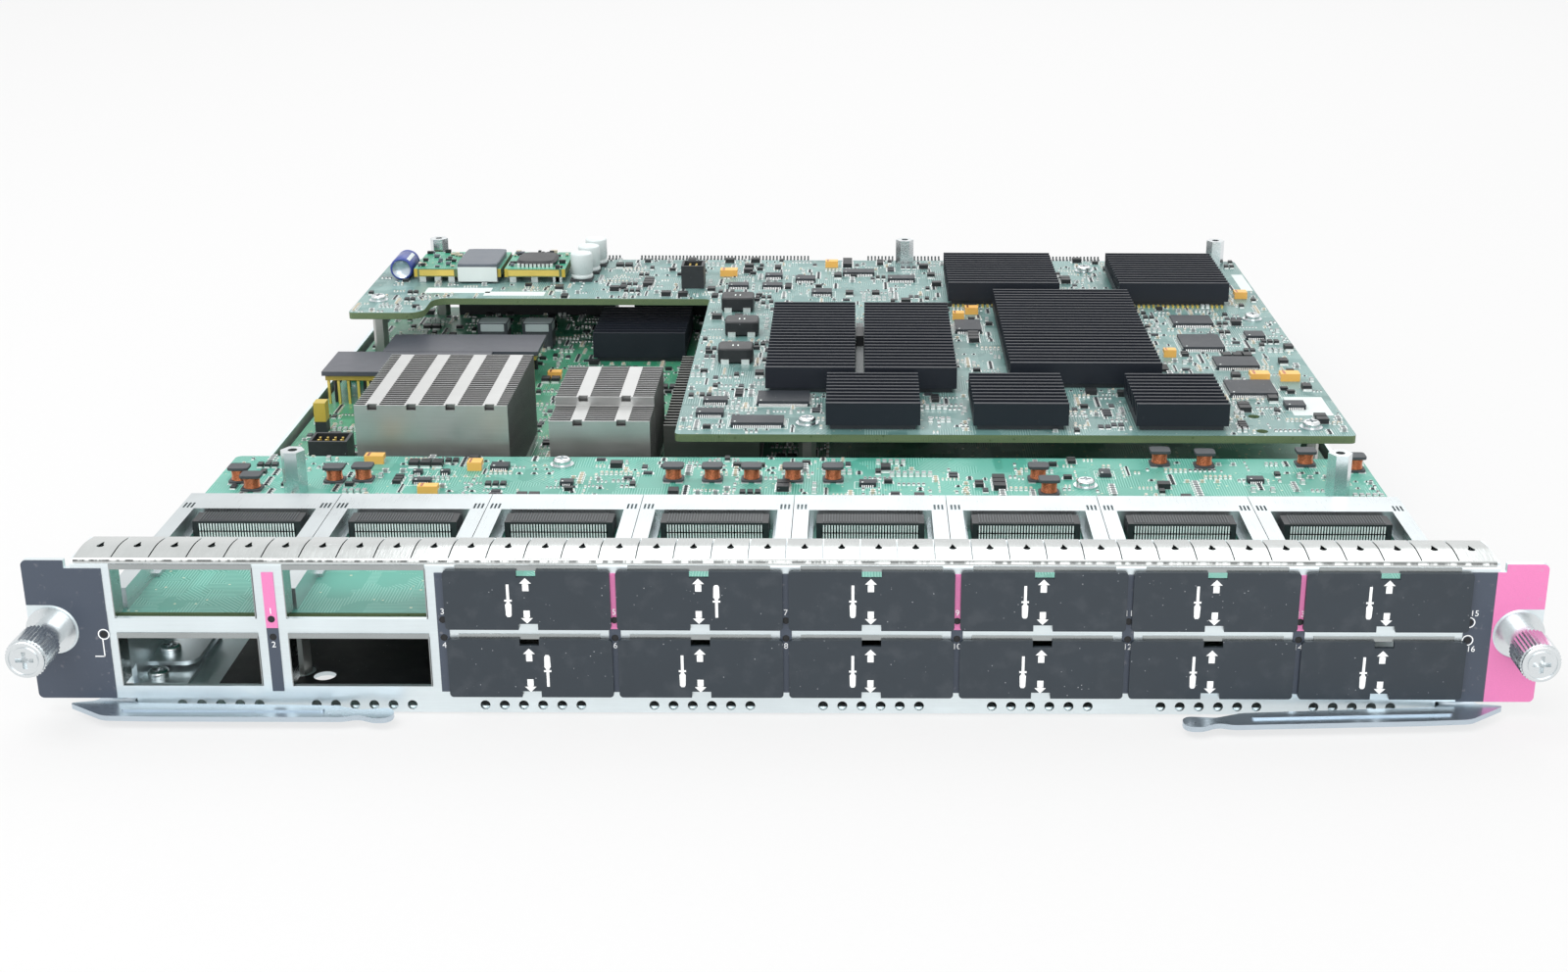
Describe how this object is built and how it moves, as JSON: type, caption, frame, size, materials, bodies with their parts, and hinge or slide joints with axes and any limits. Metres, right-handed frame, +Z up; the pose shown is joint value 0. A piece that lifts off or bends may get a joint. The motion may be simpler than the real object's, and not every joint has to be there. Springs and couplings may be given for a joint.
{
  "type": "switch line card",
  "caption": "Full-width network switch line card: module bays with dark blanking covers, ejector levers and captive screws in front of stacked green circuit boards with finned heat sinks",
  "frame": {"origin": "middle of the flat underside's front edge, in the front face of the sheet faceplate", "axes": "X to the right along the faceplate, Y backwards into the chassis, Z up from the tray's flat underside"},
  "size_m": [0.3902, 0.413, 0.0437],
  "materials": {
    "zinc_steel": "bright zinc plated sheet steel, light rolling grain",
    "spring_steel": "thin bright finger strip, tin plated",
    "polished_steel": "bright nickel plated pressed steel",
    "bright_screw": "bright nickel plated turned steel",
    "panel_label": "printed matt film, dark grey with violet blocks",
    "cover_plastic": "dark grey moulded plastic, fine texture",
    "black_plastic": "black moulded plastic",
    "connector_plastic": "near black glass-filled plastic",
    "light_pipe": "milky clear plastic",
    "black_film": "black insulating film, satin",
    "port_laminate": "teal green solder mask over glass-fibre laminate",
    "main_laminate": "green solder mask over glass-fibre laminate",
    "upper_laminate": "grey-green solder mask over glass-fibre laminate",
    "bare_aluminium": "bare milled aluminium",
    "black_anodised": "black anodised aluminium",
    "ferrite": "sintered dark grey ferrite",
    "can_sleeve": "bright aluminium can, printed sleeve",
    "tantalum_case": "moulded yellow-orange resin"
  },
  "bodies": {
    "card": {"faceplate": "zinc_steel", "edge_gasket": "spring_steel", "bay_gaskets": "spring_steel", "left_label": "panel_label", "right_label": "panel_label", "column_labels": "panel_label", "light_pipes": "light_pipe", "base_tray": "zinc_steel", "insulator_sheet": "black_film", "board_brackets": "zinc_steel", "port_board": "port_laminate", "main_board": "main_laminate", "upper_board": "upper_laminate", "upper_bay_frames": "zinc_steel", "lower_bay_frames": "zinc_steel", "upper_port_sockets": "black_plastic", "lower_port_sockets": "black_plastic", "large_heat_sink": "bare_aluminium", "small_heat_sink": "bare_aluminium", "fin_heat_sink": "bare_aluminium", "dark_heat_sink": "black_anodised", "centre_heat_sink_left": "black_anodised", "centre_heat_sink_right": "black_anodised", "front_heat_sink_left": "black_anodised", "front_heat_sink_middle": "black_anodised", "front_heat_sink_right": "black_anodised", "wide_heat_sink": "black_anodised", "rear_heat_sink_left": "black_anodised", "rear_heat_sink_right": "black_anodised", "power_modules": "ferrite", "power_bricks": "black_plastic", "capacitors": "can_sleeve", "pin_headers": "black_plastic", "backplane_connectors": "connector_plastic", "inductors": "ferrite", "tantalum_capacitors": "tantalum_case", "ic_packages": "black_plastic", "hex_standoffs": "zinc_steel", "board_spacers": "bare_aluminium", "board_screws": "bright_screw", "ejector_rivets": "bright_screw", "screw_ferrules": "bare_aluminium"},
    "left_lever": {"left_ejector": "polished_steel"},
    "right_lever": {"right_ejector": "polished_steel"},
    "left_ring": {"left_screw_ring": "bright_screw"},
    "left_screw": {"left_captive_screw": "bright_screw"},
    "right_ring": {"right_screw_ring": "bright_screw"},
    "right_screw": {"right_captive_screw": "bright_screw"},
    "top_cover_3_body": {"top_cover_3": "cover_plastic"},
    "top_cover_4_body": {"top_cover_4": "cover_plastic"},
    "top_cover_5_body": {"top_cover_5": "cover_plastic"},
    "top_cover_6_body": {"top_cover_6": "cover_plastic"},
    "top_cover_7_body": {"top_cover_7": "cover_plastic"},
    "top_cover_8_body": {"top_cover_8": "cover_plastic"},
    "bottom_cover_3_body": {"bottom_cover_3": "cover_plastic"},
    "bottom_cover_4_body": {"bottom_cover_4": "cover_plastic"},
    "bottom_cover_5_body": {"bottom_cover_5": "cover_plastic"},
    "bottom_cover_6_body": {"bottom_cover_6": "cover_plastic"},
    "bottom_cover_7_body": {"bottom_cover_7": "cover_plastic"},
    "bottom_cover_8_body": {"bottom_cover_8": "cover_plastic"}
  },
  "joints": [
    {"name": "left_ejector_swing", "type": "hinge", "parent": "card", "child": "left_lever", "pos_m": [-0.175, 0.006, 0.0023], "axis": [0, 0, 1], "range_deg": [-85, 0]},
    {"name": "right_ejector_swing", "type": "hinge", "parent": "card", "child": "right_lever", "pos_m": [0.175, 0.006, 0.0023], "axis": [0, 0, 1], "range_deg": [-3, 82]},
    {"name": "left_screw_press", "type": "slide", "parent": "card", "child": "left_ring", "axis": [0, 1, 0], "range_m": [0, 0.006], "stiffness_N_per_m": 300, "springref_m": -0.004},
    {"name": "left_screw_turn", "type": "hinge", "parent": "left_ring", "child": "left_screw", "pos_m": [-0.1887, -0.014, 0.0232], "axis": [0, 1, 0], "continuous": true},
    {"name": "right_screw_press", "type": "slide", "parent": "card", "child": "right_ring", "axis": [0, 1, 0], "range_m": [0, 0.006], "stiffness_N_per_m": 300, "springref_m": -0.004},
    {"name": "right_screw_turn", "type": "hinge", "parent": "right_ring", "child": "right_screw", "pos_m": [0.1887, -0.014, 0.0232], "axis": [0, 1, 0], "continuous": true},
    {"name": "top_cover_3_pull", "type": "slide", "parent": "card", "child": "top_cover_3_body", "axis": [0, -1, 0], "range_m": [0, 0.03]},
    {"name": "top_cover_4_pull", "type": "slide", "parent": "card", "child": "top_cover_4_body", "axis": [0, -1, 0], "range_m": [0, 0.03]},
    {"name": "top_cover_5_pull", "type": "slide", "parent": "card", "child": "top_cover_5_body", "axis": [0, -1, 0], "range_m": [0, 0.03]},
    {"name": "top_cover_6_pull", "type": "slide", "parent": "card", "child": "top_cover_6_body", "axis": [0, -1, 0], "range_m": [0, 0.03]},
    {"name": "top_cover_7_pull", "type": "slide", "parent": "card", "child": "top_cover_7_body", "axis": [0, -1, 0], "range_m": [0, 0.03]},
    {"name": "top_cover_8_pull", "type": "slide", "parent": "card", "child": "top_cover_8_body", "axis": [0, -1, 0], "range_m": [0, 0.03]},
    {"name": "bottom_cover_3_pull", "type": "slide", "parent": "card", "child": "bottom_cover_3_body", "axis": [0, -1, 0], "range_m": [0, 0.03]},
    {"name": "bottom_cover_4_pull", "type": "slide", "parent": "card", "child": "bottom_cover_4_body", "axis": [0, -1, 0], "range_m": [0, 0.03]},
    {"name": "bottom_cover_5_pull", "type": "slide", "parent": "card", "child": "bottom_cover_5_body", "axis": [0, -1, 0], "range_m": [0, 0.03]},
    {"name": "bottom_cover_6_pull", "type": "slide", "parent": "card", "child": "bottom_cover_6_body", "axis": [0, -1, 0], "range_m": [0, 0.03]},
    {"name": "bottom_cover_7_pull", "type": "slide", "parent": "card", "child": "bottom_cover_7_body", "axis": [0, -1, 0], "range_m": [0, 0.03]},
    {"name": "bottom_cover_8_pull", "type": "slide", "parent": "card", "child": "bottom_cover_8_body", "axis": [0, -1, 0], "range_m": [0, 0.03]}
  ]
}
